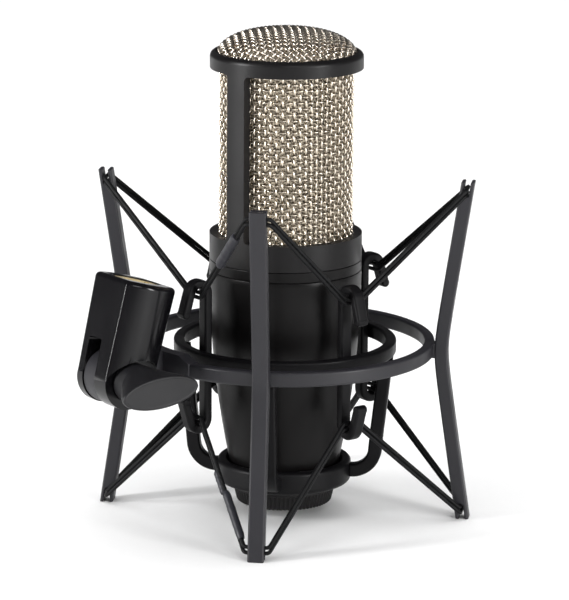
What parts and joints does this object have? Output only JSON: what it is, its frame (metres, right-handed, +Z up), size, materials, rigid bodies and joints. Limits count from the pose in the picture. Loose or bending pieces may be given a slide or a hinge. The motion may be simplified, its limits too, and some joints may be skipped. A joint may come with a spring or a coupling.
{
  "type": "condenser microphone",
  "caption": "Side-address condenser microphone with a woven grille, held in an elastic spider shock mount with a tilting stand socket.",
  "frame": {"origin": "on the microphone's axis, in the plane of the four post feet that the mount stands on", "axes": "+Z up along the microphone's axis; the front post is towards -Y and the right post towards +X"},
  "size_m": [0.1316, 0.1468, 0.1717],
  "materials": {
    "satin_black": "satin black powder coat",
    "champagne_wire": "nickel-plated woven wire",
    "screen": "fine dark wire screen",
    "bare_aluminium": "bare turned aluminium",
    "capsule_brass": "machined brass",
    "gold_film": "gold-coated film",
    "small_screws": "zinc-plated steel",
    "board_green": "glass-fibre board",
    "component_blue": "moulded components",
    "switch_black": "moulded black plastic",
    "contact_gold": "gold-plated contacts",
    "saddle_rubber": "soft black rubber",
    "mount_grey_black": "fine matte grey-black nylon",
    "elastic_black": "braided elastic cord",
    "sleeve_black": "heat-shrink sleeve",
    "socket_black": "semi-gloss moulded black plastic",
    "adapter_brass": "turned brass",
    "knob_black": "matte moulded black plastic"
  },
  "bodies": {
    "outer_frame": {"outer_ring": "mount_grey_black", "post_front": "mount_grey_black", "post_right": "mount_grey_black", "post_back": "mount_grey_black", "post_left": "mount_grey_black", "upper_elastic": "elastic_black", "lower_elastic": "elastic_black", "upper_sleeve": "sleeve_black", "lower_sleeves": "sleeve_black", "swivel_lug": "mount_grey_black", "swivel_washers": "small_screws"},
    "suspended": {"grille_frame": "satin_black", "grille_mesh": "champagne_wire", "grille_crown": "champagne_wire", "inner_screen": "screen", "band_ring": "satin_black", "body_tube": "satin_black", "chassis": "bare_aluminium", "head_plate": "bare_aluminium", "capsule_saddle": "saddle_rubber", "capsule_body": "capsule_brass", "front_diaphragm": "gold_film", "rear_diaphragm": "gold_film", "capsule_screws": "small_screws", "circuit_board": "board_green", "board_parts": "component_blue", "switch_bodies": "switch_black", "base_cap": "satin_black", "base_screws": "small_screws", "xlr_insert": "switch_black", "xlr_pins": "contact_gold", "cradle": "mount_grey_black", "inner_ring": "mount_grey_black", "cradle_arm_front": "mount_grey_black", "cradle_arm_right": "mount_grey_black", "cradle_arm_back": "mount_grey_black", "cradle_arm_left": "mount_grey_black", "hook_bar_right_front": "mount_grey_black", "hook_bar_right_back": "mount_grey_black", "hook_bar_left_back": "mount_grey_black", "hook_bar_left_front": "mount_grey_black"},
    "washer": {"lock_washer": "small_screws"},
    "lock_nut": {"lock_ring": "satin_black"},
    "pad_slider": {"pad_switch": "switch_black"},
    "low_cut_slider": {"low_cut_switch": "switch_black"},
    "socket": {"stand_socket": "socket_black", "thread_adapter": "adapter_brass", "pivot_nut": "small_screws"},
    "thumb_screw": {"pivot_screw": "small_screws", "thumb_knob": "knob_black"}
  },
  "joints": [
    {"name": "suspension", "type": "slide", "parent": "outer_frame", "child": "suspended", "axis": [0, 0, 1], "range_m": [-0.003, 0.003], "stiffness_N_per_m": 1800, "springref_m": 0.00308, "deforming": ["upper_elastic", "lower_elastic", "upper_sleeve", "lower_sleeves"]},
    {"name": "lock_ring_travel", "type": "slide", "parent": "suspended", "child": "washer", "axis": [0, 0, -1], "range_m": [0, 0.003]},
    {"name": "lock_ring_turn", "type": "hinge", "parent": "washer", "child": "lock_nut", "pos_m": [0, 0, 0.0075], "axis": [0, 0, -1], "range_deg": [0, 1080.5]},
    {"name": "pad_switch_slide", "type": "slide", "parent": "suspended", "child": "pad_slider", "axis": [0, 0, 1], "range_m": [0, 0.003]},
    {"name": "low_cut_switch_slide", "type": "slide", "parent": "suspended", "child": "low_cut_slider", "axis": [0, 0, 1], "range_m": [0, 0.003]},
    {"name": "socket_tilt", "type": "hinge", "parent": "outer_frame", "child": "socket", "pos_m": [-0.05063, -0.05063, 0.0588], "axis": [0.7071, -0.7071, 0], "range_deg": [-5, 215]},
    {"name": "thumb_screw_turn", "type": "hinge", "parent": "socket", "child": "thumb_screw", "pos_m": [-0.05063, -0.05063, 0.0588], "axis": [0.7071, -0.7071, 0], "range_deg": [0, 360]}
  ],
  "couplings": [
    {"joint": "lock_ring_turn", "follows": "lock_ring_travel", "rad_per_m": 6283.2}
  ]
}
